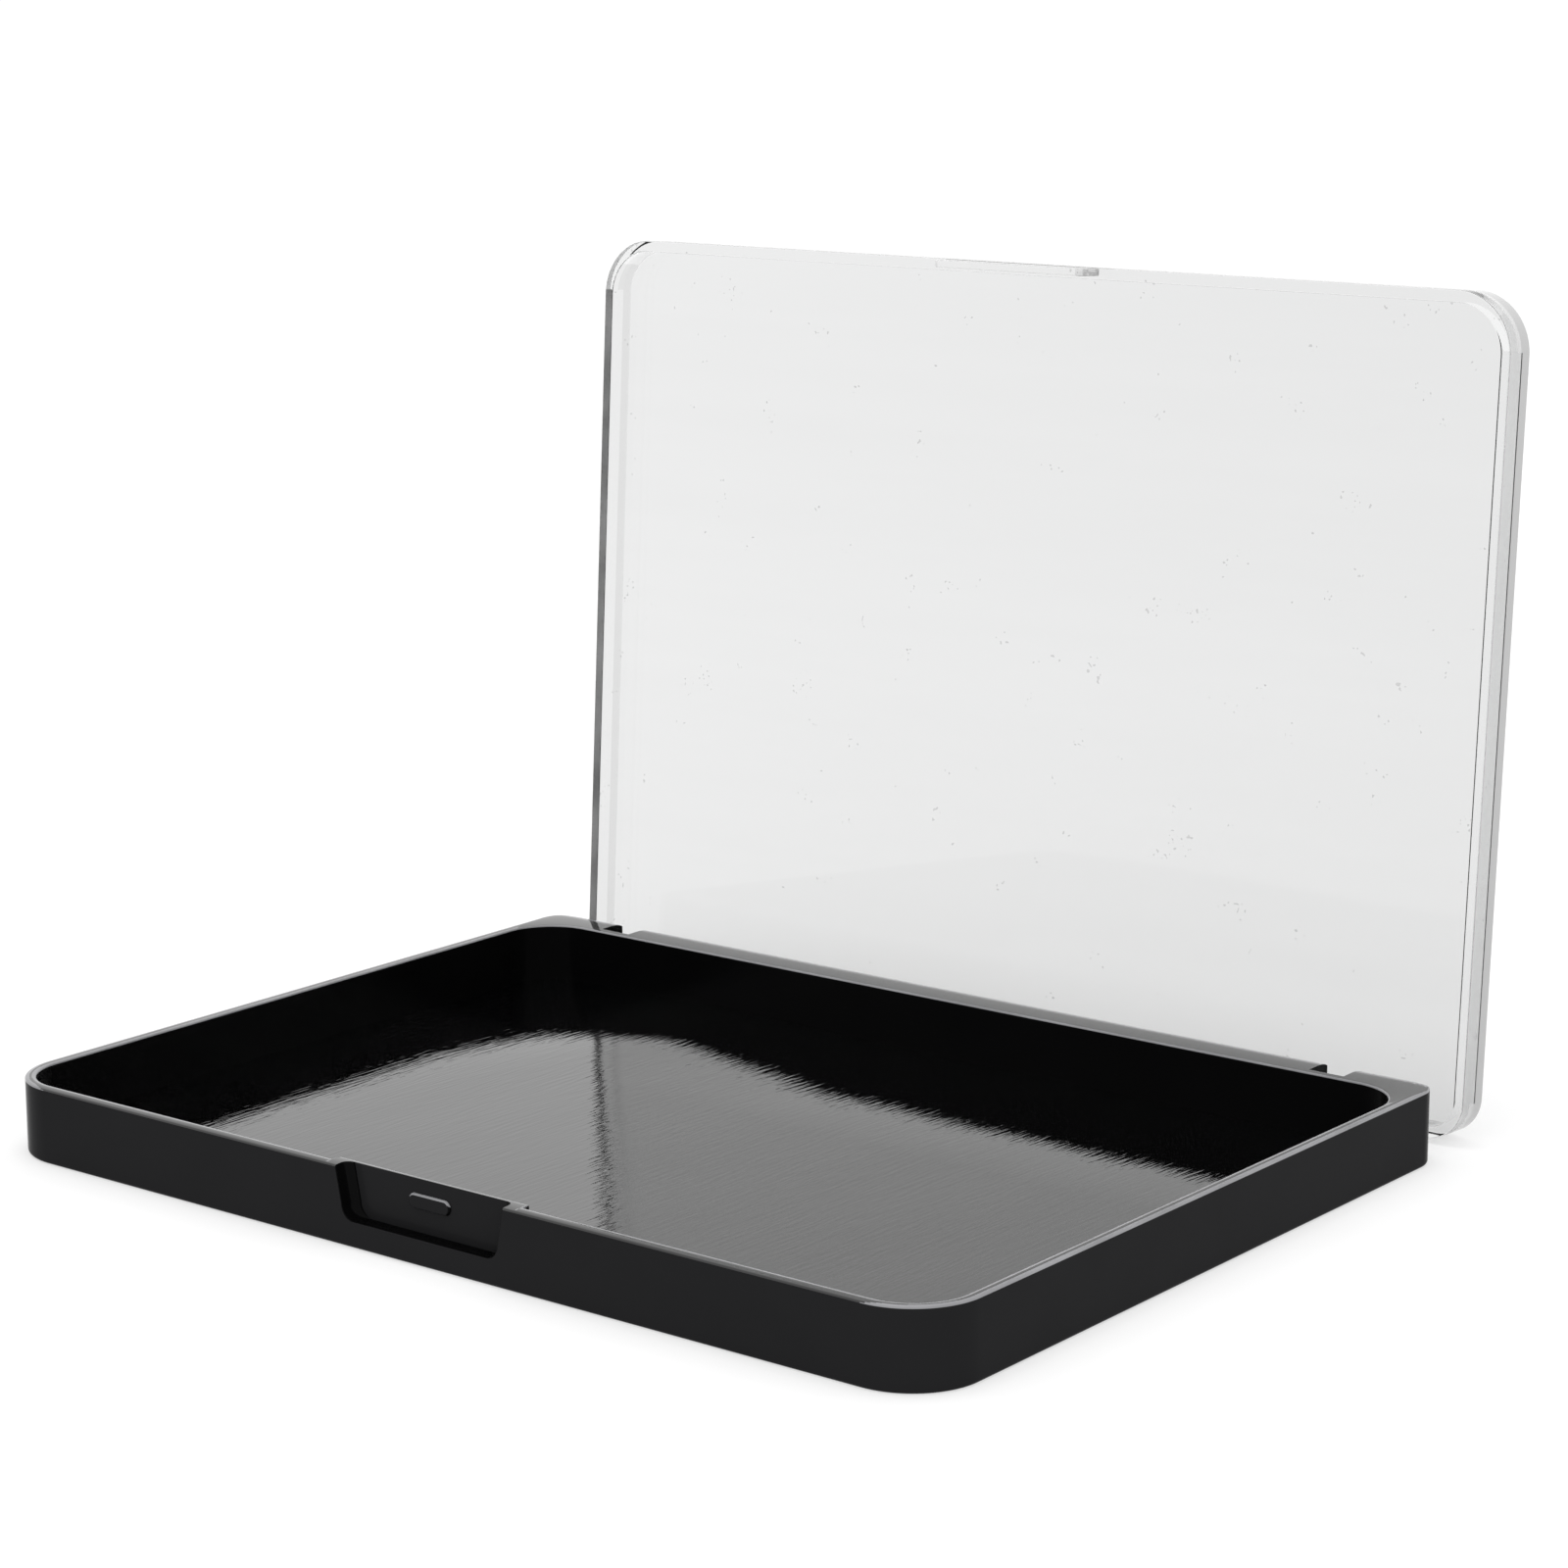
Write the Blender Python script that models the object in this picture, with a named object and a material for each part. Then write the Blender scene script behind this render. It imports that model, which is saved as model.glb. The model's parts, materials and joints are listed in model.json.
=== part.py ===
"""Wet palette: a shallow black tray with a clear lid hinged along its back edge.

Metres, +Z up. The origin is the centre of the tray's flat underside. +X runs along the
hinge to the right, and +Y runs from the thumb recess at the front back to the hinge.
The lid is shaped closed, in coordinates measured from the hinge axis, and then turned
open about that axis, so the object's origin lies on its joint.
"""
import math

import bmesh
import bpy

# Tray
TRAY_WIDTH = 0.200
TRAY_DEPTH = 0.148
TRAY_HEIGHT = 0.0135
FLOOR_THICKNESS = 0.0034
SIDE_WALL = 0.00205
FRONT_WALL = 0.00215
BACK_BAR = 0.0076           # thick rear wall that carries the hinge
FRONT_CORNER_RADIUS = 0.0125
BACK_CORNER_RADIUS = 0.006
CAVITY_CORNER_RADIUS = 0.010
FOOT_ROUND = 0.0008

# Thumb recess in the front wall, and the catch bead inside it
RECESS_DEPTH = 0.0029
RECESS_TOP_HALF = 0.0182
RECESS_BOTTOM_HALF = 0.0168
RECESS_FLOOR = 0.0045
RECESS_CORNER_RADIUS = 0.0027
RECESS_BACKING = 0.0009     # wall left behind the recess
BACKING_HALF = 0.0202
BEAD_HALF = 0.0045
BEAD_HEIGHT = 0.0026
BEAD_CENTRE_Z = 0.0097
BEAD_STAND = 0.0005

# Hinge: two notches in the back bar, one ear and one pin in each
HINGE_BACK_OFFSET = 0.003   # from the tray's back face forward to the axis
HINGE_Z = 0.0034
NOTCH_INNER_X = 0.0773
NOTCH_OUTER_X = 0.0841
NOTCH_FRONT_WALL = 0.0015
NOTCH_FLOOR = 0.0007
SWING_RADIUS = 0.0101       # the bar's back edge is rounded about the hinge axis
PIN_RADIUS = 0.0008
PIN_OVERHANG = 0.0018       # into the bar on each side of the notch
GAP = 0.0003

# Lid
LID_WIDTH = 0.1995
LID_HEIGHT = 0.0072
LID_FRONT_SETBACK = 0.0007
LID_BEHIND_AXIS = 0.002
LID_SIDE_WALL = 0.0019
LID_FRONT_WALL = 0.0021
LID_PLATE = 0.00175
LID_TOP_ROUND = 0.0004
LID_FRONT_RADIUS = 0.0107
LID_BACK_RADIUS = 0.0071
TAB_HALF = 0.0167
TAB_DROP = 0.0055
TAB_THICKNESS = 0.0014
TAB_CORNER_RADIUS = 0.0022
EAR_RADIUS = 0.0022
EAR_SIDE_GAP = 0.0004
OPEN_ANGLE = math.radians(93.4)

CORNER_STEPS = 8
ROUND_SIDES = 24
OVERCUT = 0.004             # how far a cutter passes the surface it cuts

TRAY_FRONT = -TRAY_DEPTH / 2
TRAY_BACK = TRAY_DEPTH / 2
HINGE_Y = TRAY_BACK - HINGE_BACK_OFFSET


def clear_scene():
    """Start from an empty scene."""
    for item in list(bpy.data.objects):
        bpy.data.objects.remove(item, do_unlink=True)


def make_material(name, colour, roughness, metallic=0.0, transmission=0.0, ior=1.5):
    """A Principled BSDF with the part's own finish."""
    material = bpy.data.materials.new(name)
    material.use_nodes = True
    shader = material.node_tree.nodes["Principled BSDF"]
    shader.inputs["Base Color"].default_value = (*colour, 1.0)
    shader.inputs["Roughness"].default_value = roughness
    shader.inputs["Metallic"].default_value = metallic
    shader.inputs["Transmission Weight"].default_value = transmission
    shader.inputs["IOR"].default_value = ior
    return material


def arc(centre_x, centre_y, radius, start_deg, end_deg, steps=CORNER_STEPS):
    """Points along an arc, both ends included."""
    points = []
    for step in range(steps + 1):
        angle = math.radians(start_deg + (end_deg - start_deg) * step / steps)
        points.append((centre_x + radius * math.cos(angle), centre_y + radius * math.sin(angle)))
    return points


def rounded_plan(half_width, front, back, front_radius, back_radius):
    """Anticlockwise plan outline, from the front left corner round to the back left one."""
    return (
        arc(-half_width + front_radius, front + front_radius, front_radius, 180, 270)
        + arc(half_width - front_radius, front + front_radius, front_radius, 270, 360)
        + arc(half_width - back_radius, back - back_radius, back_radius, 0, 90)
        + arc(-half_width + back_radius, back - back_radius, back_radius, 90, 180)
    )


def loft(name, rings):
    """A closed solid through rings of equal point count, anticlockwise seen from the last."""
    mesh = bmesh.new()
    rows = []
    for ring in rings:
        rows.append([mesh.verts.new(point) for point in ring])
    mesh.faces.new(list(reversed(rows[0])))
    for lower, upper in zip(rows, rows[1:]):
        for index in range(len(lower)):
            following = (index + 1) % len(lower)
            mesh.faces.new((lower[index], lower[following], upper[following], upper[index]))
    mesh.faces.new(rows[-1])
    data = bpy.data.meshes.new(name)
    mesh.to_mesh(data)
    mesh.free()
    item = bpy.data.objects.new(name, data)
    bpy.context.scene.collection.objects.link(item)
    return item


def upright_prism(name, plan, low, high):
    """A plan outline in X and Y, raised from low to high."""
    return loft(name, [[(x, y, z) for x, y in plan] for z in (low, high)])


def front_prism(name, face, front, back):
    """An outline in X and Z, carried through Y from front to back."""
    return loft(name, [[(x, y, z) for x, z in face] for y in (back, front)])


def side_prism(name, profile, left, right):
    """An outline in Y and Z, carried through X from left to right."""
    return loft(name, [[(x, y, z) for y, z in profile] for x in (left, right)])


def hide_cutter(cutter, parent):
    """A cutter stays in the file as a wire guide of the piece it shapes."""
    cutter.hide_render = True
    cutter.display_type = "WIRE"
    cutter.parent = parent


def combine(item, other, operation):
    """Cut from, or add to, a piece with a live Boolean modifier."""
    modifier = item.modifiers.new(other.name, "BOOLEAN")
    modifier.operation = operation
    modifier.solver = "EXACT"
    modifier.object = other
    hide_cutter(other, item)


def smooth(item, angle_deg=32):
    """Shade round faces smooth and keep the real edges sharp."""
    item.data.shade_smooth()
    item.data.set_sharp_from_angle(angle=math.radians(angle_deg))


def tray_body():
    """The outer block of the tray, rounded in plan and along its bottom edge."""
    rings = []
    for step in range(4):
        angle = math.radians(30 * step)
        inset = FOOT_ROUND * (1 - math.sin(angle))
        plan = rounded_plan(
            TRAY_WIDTH / 2 - inset,
            TRAY_FRONT + inset,
            TRAY_BACK - inset,
            FRONT_CORNER_RADIUS - inset,
            BACK_CORNER_RADIUS - inset,
        )
        rings.append([(x, y, FOOT_ROUND * (1 - math.cos(angle))) for x, y in plan])
    rings.append([(x, y, TRAY_HEIGHT) for x, y, _ in rings[-1]])
    return loft("base_tray", rings)


def cavity_cutter():
    """The paint well, with a shallow step where the wall backs the thumb recess."""
    half = TRAY_WIDTH / 2 - SIDE_WALL
    front = TRAY_FRONT + FRONT_WALL
    back = TRAY_BACK - BACK_BAR
    backing = TRAY_FRONT + RECESS_DEPTH + RECESS_BACKING
    plan = rounded_plan(half, front, back, CAVITY_CORNER_RADIUS, CAVITY_CORNER_RADIUS)
    step = [
        (-BACKING_HALF, front),
        (-BACKING_HALF, backing),
        (BACKING_HALF, backing),
        (BACKING_HALF, front),
    ]
    front_left_points = CORNER_STEPS + 1
    outline = plan[:front_left_points] + step + plan[front_left_points:]
    return upright_prism("cavity_cutter", outline, FLOOR_THICKNESS, TRAY_HEIGHT + OVERCUT)


def recess_cutter():
    """The thumb recess: a tapered opening with rounded lower corners, open at the top."""
    radius = RECESS_CORNER_RADIUS
    top = TRAY_HEIGHT + OVERCUT
    taper = (RECESS_TOP_HALF - RECESS_BOTTOM_HALF) / (TRAY_HEIGHT - RECESS_FLOOR)
    top_half = RECESS_TOP_HALF + taper * OVERCUT
    lower = RECESS_BOTTOM_HALF - radius
    face = [(-top_half, top)]
    face += arc(-lower, RECESS_FLOOR + radius, radius, 180, 270)
    face += arc(lower, RECESS_FLOOR + radius, radius, 270, 360)
    face += [(top_half, top)]
    return front_prism("recess_cutter", face, TRAY_FRONT - OVERCUT, TRAY_FRONT + RECESS_DEPTH)


def catch_bead():
    """The bead that the lid's tab snaps over, a flat-topped bar with rounded ends."""
    rings = []
    root = TRAY_FRONT + RECESS_DEPTH
    for y, shrink in ((root + GAP, 0), (root - BEAD_STAND * 0.4, 0), (root - BEAD_STAND, 0.0004)):
        radius = BEAD_HEIGHT / 2 - shrink
        straight = BEAD_HALF - BEAD_HEIGHT / 2
        face = arc(-straight, BEAD_CENTRE_Z, radius, 90, 270)
        face += arc(straight, BEAD_CENTRE_Z, radius, 270, 450)
        rings.append([(x, y, z) for x, z in face])
    return loft("catch_bead", rings)


def back_edge_cutter():
    """What the lid's rim sweeps over the tray's back edge, rounded about the hinge axis."""
    end_deg = math.degrees(math.asin((HINGE_BACK_OFFSET + OVERCUT) / SWING_RADIUS))
    curve = arc(HINGE_Y, HINGE_Z, SWING_RADIUS, 90, 90 - end_deg)
    top = TRAY_HEIGHT + OVERCUT
    profile = curve + [(curve[-1][0], top), (HINGE_Y, top)]
    left = -TRAY_WIDTH / 2 - OVERCUT
    return side_prism("back_edge_cutter", profile, left, -left)


def notch_cutter(side, sign):
    """One hinge notch, open to the top and to the back."""
    middle = sign * (NOTCH_INNER_X + NOTCH_OUTER_X) / 2
    half = (NOTCH_OUTER_X - NOTCH_INNER_X) / 2
    front = TRAY_BACK - BACK_BAR + NOTCH_FRONT_WALL
    back = TRAY_BACK + OVERCUT
    plan = [(middle - half, front), (middle + half, front), (middle + half, back), (middle - half, back)]
    return upright_prism(f"notch_cutter_{side}", plan, NOTCH_FLOOR, TRAY_HEIGHT + OVERCUT)


def axis_bar(name, radius, half_length, centre, chamfer=0.0):
    """A round bar along X, its ends eased by a small chamfer."""
    centre_x, centre_y, centre_z = centre
    stations = [(-half_length, radius), (half_length, radius)]
    if chamfer:
        stations = [
            (-half_length, radius - chamfer),
            (-half_length + chamfer, radius),
            (half_length - chamfer, radius),
            (half_length, radius - chamfer),
        ]
    rings = []
    for x, ring_radius in stations:
        circle = arc(centre_y, centre_z, ring_radius, 0, 360, ROUND_SIDES)[:-1]
        rings.append([(centre_x + x, y, z) for y, z in circle])
    return loft(name, rings)


def make_tray(material):
    """The whole tray moulding."""
    tray = tray_body()
    combine(tray, cavity_cutter(), "DIFFERENCE")
    combine(tray, back_edge_cutter(), "DIFFERENCE")
    combine(tray, recess_cutter(), "DIFFERENCE")
    combine(tray, catch_bead(), "UNION")
    notch_middle = (NOTCH_INNER_X + NOTCH_OUTER_X) / 2
    socket_half = (NOTCH_OUTER_X - NOTCH_INNER_X) / 2 + PIN_OVERHANG + GAP
    for side, sign in (("left", -1), ("right", 1)):
        combine(tray, notch_cutter(side, sign), "DIFFERENCE")
        centre = (sign * notch_middle, HINGE_Y, HINGE_Z)
        socket = axis_bar(f"socket_cutter_{side}", PIN_RADIUS + 1.1 * GAP, socket_half, centre)
        combine(tray, socket, "DIFFERENCE")
    smooth(tray)
    tray.data.materials.append(material)
    return tray


def make_pins(material):
    """The two hinge pins, each across its notch and into the bar on both sides."""
    middle = (NOTCH_INNER_X + NOTCH_OUTER_X) / 2
    half = (NOTCH_OUTER_X - NOTCH_INNER_X) / 2 + PIN_OVERHANG
    for side, sign in (("left", -1), ("right", 1)):
        pin = axis_bar(f"hinge_pin_{side}", PIN_RADIUS, half, (0.0, 0.0, 0.0), 0.00015)
        pin.location = (sign * middle, HINGE_Y, HINGE_Z)
        smooth(pin)
        pin.data.materials.append(material)


def lid_rim_height():
    """Height of the closed lid's lower rim above the hinge axis."""
    return TRAY_HEIGHT + GAP - HINGE_Z


def lid_front():
    """The closed lid's front face, measured from the hinge axis."""
    return TRAY_FRONT + LID_FRONT_SETBACK - HINGE_Y


def lid_shell():
    """The lid's outer block, its upper edge rounded."""
    rim = lid_rim_height()
    rings = []
    for step in range(-1, 5):
        angle = math.radians(22.5 * max(step, 0))
        inset = LID_TOP_ROUND * (1 - math.cos(angle))
        plan = rounded_plan(
            LID_WIDTH / 2 - inset,
            lid_front() + inset,
            LID_BEHIND_AXIS - inset,
            LID_FRONT_RADIUS - inset,
            LID_BACK_RADIUS - inset,
        )
        height = rim
        if step >= 0:
            height = rim + LID_HEIGHT - LID_TOP_ROUND * (1 - math.sin(angle))
        rings.append([(x, y, height) for x, y in plan])
    return loft("clear_lid", rings)


def lid_hollow():
    """The space under the lid."""
    plan = rounded_plan(
        LID_WIDTH / 2 - LID_SIDE_WALL,
        lid_front() + LID_FRONT_WALL,
        LID_BEHIND_AXIS - LID_SIDE_WALL,
        LID_FRONT_RADIUS - LID_FRONT_WALL,
        LID_BACK_RADIUS - LID_SIDE_WALL,
    )
    rim = lid_rim_height()
    return upright_prism("lid_hollow", plan, rim - OVERCUT, rim + LID_HEIGHT - LID_PLATE)


def snap_tab():
    """The tab that hangs from the lid's front edge into the thumb recess."""
    rim = lid_rim_height()
    tip = rim - TAB_DROP
    radius = TAB_CORNER_RADIUS
    face = [(-TAB_HALF, rim + LID_PLATE)]
    face += arc(-TAB_HALF + radius, tip + radius, radius, 180, 270)
    face += arc(TAB_HALF - radius, tip + radius, radius, 270, 360)
    face += [(TAB_HALF, rim + LID_PLATE)]
    return front_prism("snap_tab", face, lid_front(), lid_front() + TAB_THICKNESS)


def hinge_ear(side, sign):
    """One ear, rounded about the hinge axis and blended into the lid's back wall."""
    inner = NOTCH_INNER_X + EAR_SIDE_GAP
    outer = NOTCH_OUTER_X - EAR_SIDE_GAP
    rim = lid_rim_height()
    tangent_deg = math.degrees(math.asin(LID_BEHIND_AXIS / EAR_RADIUS))
    round_end = arc(0.0, 0.0, EAR_RADIUS, 180, 360 + 90 - tangent_deg, 14)
    profile = round_end + [
        (LID_BEHIND_AXIS, rim + LID_PLATE),
        (LID_BEHIND_AXIS - LID_SIDE_WALL, rim + LID_PLATE),
        (-EAR_RADIUS, rim - EAR_RADIUS / 2),
    ]
    left, right = sorted((sign * inner, sign * outer))
    return side_prism(f"hinge_ear_{side}", profile, left, right)


def make_lid(material):
    """The whole lid moulding, turned open about the hinge axis."""
    lid = lid_shell()
    combine(lid, lid_hollow(), "DIFFERENCE")
    combine(lid, snap_tab(), "UNION")
    ear_middle = (NOTCH_INNER_X + NOTCH_OUTER_X) / 2
    hole_half = (NOTCH_OUTER_X - NOTCH_INNER_X) / 2 + OVERCUT
    for side, sign in (("left", -1), ("right", 1)):
        combine(lid, hinge_ear(side, sign), "UNION")
        centre = (sign * ear_middle, 0.0, 0.0)
        hole = axis_bar(f"ear_hole_{side}", PIN_RADIUS + 1.1 * GAP, hole_half, centre)
        combine(lid, hole, "DIFFERENCE")
    smooth(lid)
    lid.data.materials.append(material)
    lid.location = (0.0, HINGE_Y, HINGE_Z)
    lid.rotation_euler = (-OPEN_ANGLE, 0.0, 0.0)
    return lid


clear_scene()
make_tray(make_material("black_plastic", (0.012, 0.012, 0.013), 0.08))
make_pins(make_material("pin_steel", (0.55, 0.56, 0.58), 0.28, metallic=1.0))
make_lid(make_material("clear_plastic", (0.97, 0.98, 0.98), 0.03, transmission=1.0, ior=1.57))
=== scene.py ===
"""Looks of the wet palette: fine tray and lid mouldings, plastics, light and camera."""
import json
import math

import bmesh
import bpy
import numpy as np
from mathutils import Matrix, Vector


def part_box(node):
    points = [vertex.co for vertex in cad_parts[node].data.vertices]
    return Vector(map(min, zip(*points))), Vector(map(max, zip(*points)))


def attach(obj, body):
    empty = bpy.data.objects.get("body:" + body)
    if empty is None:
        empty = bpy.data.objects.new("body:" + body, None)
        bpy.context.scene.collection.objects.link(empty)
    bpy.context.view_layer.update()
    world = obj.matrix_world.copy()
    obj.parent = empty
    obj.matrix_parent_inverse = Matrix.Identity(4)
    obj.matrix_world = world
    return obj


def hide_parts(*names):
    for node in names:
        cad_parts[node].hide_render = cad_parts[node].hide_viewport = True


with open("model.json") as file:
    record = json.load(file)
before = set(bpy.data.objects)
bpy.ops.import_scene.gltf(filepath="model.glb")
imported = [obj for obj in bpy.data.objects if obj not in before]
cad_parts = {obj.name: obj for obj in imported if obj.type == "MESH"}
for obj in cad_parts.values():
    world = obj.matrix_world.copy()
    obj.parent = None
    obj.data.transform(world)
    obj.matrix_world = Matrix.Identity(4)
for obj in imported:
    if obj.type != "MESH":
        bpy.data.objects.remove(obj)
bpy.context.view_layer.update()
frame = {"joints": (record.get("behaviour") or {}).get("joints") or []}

# The tray's and the hinge's places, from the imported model
TRAY_LOW, TRAY_HIGH = [Vector(corner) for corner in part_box("base_tray")]
PIN_LOW, PIN_HIGH = [Vector(corner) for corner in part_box("hinge_pin_right")]
HINGE_JOINT = frame["joints"][0]
HINGE = Vector(HINGE_JOINT["pos_m"])
OPEN_ANGLE = math.radians(HINGE_JOINT["range_deg"][1])
HALF_WIDTH = TRAY_HIGH.x
FRONT = TRAY_LOW.y
BACK = TRAY_HIGH.y
TRAY_TOP = TRAY_HIGH.z

# Tray walls and floor
SIDE_WALL = 0.00205
FRONT_WALL = 0.00215
BACK_BAR = 0.0076
FLOOR_TOP = 0.0034
FRONT_CORNER = 0.0125
BACK_CORNER = 0.006
WELL_CORNER = 0.010
FOOT_ROUND = 0.0008
RIM_ROUND = 0.0003
SWING_RADIUS = 0.0101
RIM_LOOPS = 14
RIM_CROWN = 0.00008          # how much higher the middle of the rim is than its edges
SLAB_BURY = 0.001            # how far the floor slab runs into the walls
RIM_DEPTH = 0.001            # faces this close to the top belong to the rim
FLOOR_MARGIN = 0.001         # faces this close above the floor's level belong to the floor

# Thumb recess and catch bead
RECESS_DEPTH = 0.0029
RECESS_TOP_HALF = 0.0182
RECESS_BOTTOM_HALF = 0.0168
RECESS_FLOOR = 0.0045
RECESS_CORNER = 0.0027
RECESS_EASE = 0.00015
RECESS_FILLET = 0.0016       # round between the recess's back and its two ends
RECESS_BACKING = 0.0009
BACKING_HALF = 0.0202
BACKING_EASE = 0.0003
BEAD_HALF = 0.0045
BEAD_HEIGHT = 0.0026
BEAD_Z = 0.0097
BEAD_STAND = 0.0005
BEAD_CROWN = 0.0005

# Hinge
NOTCH_INNER = 0.0773
NOTCH_OUTER = 0.0841
NOTCH_WALL = 0.0015
NOTCH_FLOOR = 0.0007
PIN_RADIUS = (PIN_HIGH.z - PIN_LOW.z) / 2
SOCKET_RADIUS = PIN_RADIUS + 0.00033
SOCKET_HALF = (PIN_HIGH.x - PIN_LOW.x) / 2 + 0.0003
PIN_CHAMFER = 0.0002

# Lid, shaped closed and measured from the hinge axis
LID_HALF = 0.1995 / 2
LID_HEIGHT = 0.0072
LID_GAP = 0.0003
LID_FRONT = FRONT + 0.0007 - HINGE.y
LID_BACK = 0.002
LID_SIDE_WALL = 0.0019
LID_FRONT_WALL = 0.0021
LID_PLATE = 0.00175
LID_TOP_ROUND = 0.0004
LID_RIM_ROUND = 0.0002
LID_INNER_FILLET = 0.0002
LID_EDGE_BAND = 0.0028       # depth of the outer faces that show light led along inside the plate
LID_CORNER_BAND = 0.0045     # the same round the corners
LID_FRONT_CORNER = 0.0107
LID_BACK_CORNER = 0.0071
LID_RIM = TRAY_TOP + LID_GAP - HINGE.z
TAB_HALF = 0.0167
TAB_DROP = 0.0055
TAB_THICKNESS = 0.0014
TAB_CORNER = 0.0022
TAB_EASE = 0.0002
EAR_RADIUS = 0.0022
EAR_SIDE_GAP = 0.0004
EAR_EASE = 0.0002
FLUSH_SINK = 0.00005         # keeps a joined block just inside the wall that it grows from

CORNER_STEPS = 24
EASE_STEPS = 4
OVERCUT = 0.004

# Fall of the well's floor, below its flat level
FALL_BACK = 0.00085
FALL_CORNER = 0.0008
FALL_LEFT = 0.0002

# Material slots of the two mouldings; the tray's outer walls carry painted reflection, its inner
# walls painted shade and its rounded rim edges a painted highlight
RIM, OUTER_WALL, INNER_WALL, WELL_FLOOR, RIM_EDGE = range(5)
CLEAR, PLATE_EDGE, LEFT_SIDE, LEFT_CORNERS = range(4)
ROUNDED_Z = 0.9965           # a rim face whose normal rises less than this is on a rounded edge

# Plastics
BLACK_IOR = 1.5
CLEAR_IOR = 1.52
CLEAR_DARK = (0.693, 0.695, 0.695)
CLEAR_LIGHT = (0.808, 0.810, 0.810)
EDGE_DARK = (0.54, 0.54, 0.54)
EDGE_LIGHT = (0.68, 0.68, 0.68)
SPECK = (0.45, 0.45, 0.45)
MIRROR_TINT = 0.15           # how much of the clear plastic's own mirror gloss is left
PAINTED_SHADE_ACROSS = 0.375          # shares of the tint that come from painted shade, lighter across to the left and up the lid, and from flow marks
PAINTED_SHADE_UPWARD = 0.375          # and from flow marks
FLOW_MARK_SHARE = 0.25
PAINTED_SHADE_FOOT = 0.02
PAINTED_SHADE_HEAD = 0.145
DUST_LEVEL = 0.75
PATCH_LEVEL = 0.74
EDGE_CLEARNESS = 0.25        # how much of the plate's edge is clear, seen from outside
TOTAL_MIRROR = 0.9

# Camera and studio
CAMERA_PLACE = Vector((0.41970, -0.51154, 0.20854))
CAMERA_TURN = math.radians(38.322)
CAMERA_TILT = math.radians(12.205)
CAMERA_ROLL = math.radians(-0.186)
CAMERA_LENS = 92.03
SKY_STRENGTH = 1.2
FLOOR_SIZE = 40.0
FLOOR_GLOW = 0.52
SOFTBOX_SIZE = 0.28
SOFTBOX_HEIGHT = 1.0
SOFTBOX_WATTS = 1.6


# --- Shapes ---------------------------------------------------------------------------------

def arc(centre_x, centre_y, radius, start_deg, end_deg, steps=CORNER_STEPS):
    """Points along an arc, both ends included."""
    points = []
    for step in range(steps + 1):
        angle = math.radians(start_deg + (end_deg - start_deg) * step / steps)
        points.append((centre_x + radius * math.cos(angle), centre_y + radius * math.sin(angle)))
    return points


def plan_loop(half, front, back, front_radius, back_radius, step_in=0.0):
    """Anticlockwise plan outline. step_in moves the middle of its front edge inwards."""
    middle = [
        (-BACKING_HALF - BACKING_EASE, front),
        (-BACKING_HALF, front + step_in),
        (BACKING_HALF, front + step_in),
        (BACKING_HALF + BACKING_EASE, front),
    ]
    return (
        arc(-half + front_radius, front + front_radius, front_radius, 180, 270)
        + middle
        + arc(half - front_radius, front + front_radius, front_radius, 270, 360)
        + arc(half - back_radius, back - back_radius, back_radius, 0, 90)
        + arc(-half + back_radius, back - back_radius, back_radius, 90, 180)
    )


def loft(name, loops, close_ends=True):
    """A closed solid through loops of equal point count, anticlockwise seen from the last."""
    mesh = bmesh.new()
    rows = []
    for loop in loops:
        rows.append([mesh.verts.new(point) for point in loop])
    if close_ends:
        mesh.faces.new(list(reversed(rows[0])))
        mesh.faces.new(rows[-1])
    for lower, upper in zip(rows, rows[1:]):
        for index in range(len(lower)):
            following = (index + 1) % len(lower)
            mesh.faces.new((lower[index], lower[following], upper[following], upper[index]))
    return object_from(mesh, name)


def object_from(mesh, name):
    """Turn a bmesh into a linked object."""
    data = bpy.data.meshes.new(name)
    mesh.to_mesh(data)
    mesh.free()
    item = bpy.data.objects.new(name, data)
    bpy.context.scene.collection.objects.link(item)
    return item


def combine(item, other, operation):
    """Cut from, or add to, a piece, and keep the result as its mesh."""
    modifier = item.modifiers.new("shape", "BOOLEAN")
    modifier.operation = operation
    modifier.solver = "EXACT"
    modifier.object = other
    graph = bpy.context.evaluated_depsgraph_get()
    data = bpy.data.meshes.new_from_object(item.evaluated_get(graph))
    item.modifiers.clear()
    item.data = data
    bpy.data.objects.remove(other, do_unlink=True)


def weld(item, distance=0.000002):
    """Join the points that a cut leaves on top of each other."""
    mesh = bmesh.new()
    mesh.from_mesh(item.data)
    bmesh.ops.remove_doubles(mesh, verts=mesh.verts, dist=distance)
    bmesh.ops.dissolve_degenerate(mesh, edges=mesh.edges, dist=distance)
    mesh.to_mesh(item.data)
    mesh.free()


def smooth(item, angle_deg=35):
    """Shade round faces smooth, keep real edges sharp, and let large flats stay flat."""
    item.data.shade_smooth()
    item.data.set_sharp_from_angle(angle=math.radians(angle_deg))
    modifier = item.modifiers.new("flat_faces_stay_flat", "WEIGHTED_NORMAL")
    modifier.keep_sharp = True
    modifier.weight = 90


def eased(steps=EASE_STEPS):
    """(inward, along) pairs of a quarter round of radius 1, from the side to the top."""
    pairs = []
    for step in range(steps + 1):
        angle = math.radians(90 * step / steps)
        pairs.append((1 - math.cos(angle), math.sin(angle)))
    return pairs


# --- Tray -----------------------------------------------------------------------------------

def top_height(y):
    """Height of the tray's top, rounded about the hinge axis along the back edge."""
    behind = max(0.0, y - HINGE.y)
    return min(TRAY_TOP, HINGE.z + math.sqrt(max(0.0, SWING_RADIUS ** 2 - behind ** 2)))


def outer_plan(inset):
    """The tray's outline, moved in by inset."""
    return plan_loop(
        HALF_WIDTH - inset, FRONT + inset, BACK - inset, FRONT_CORNER - inset, BACK_CORNER - inset
    )


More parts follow.
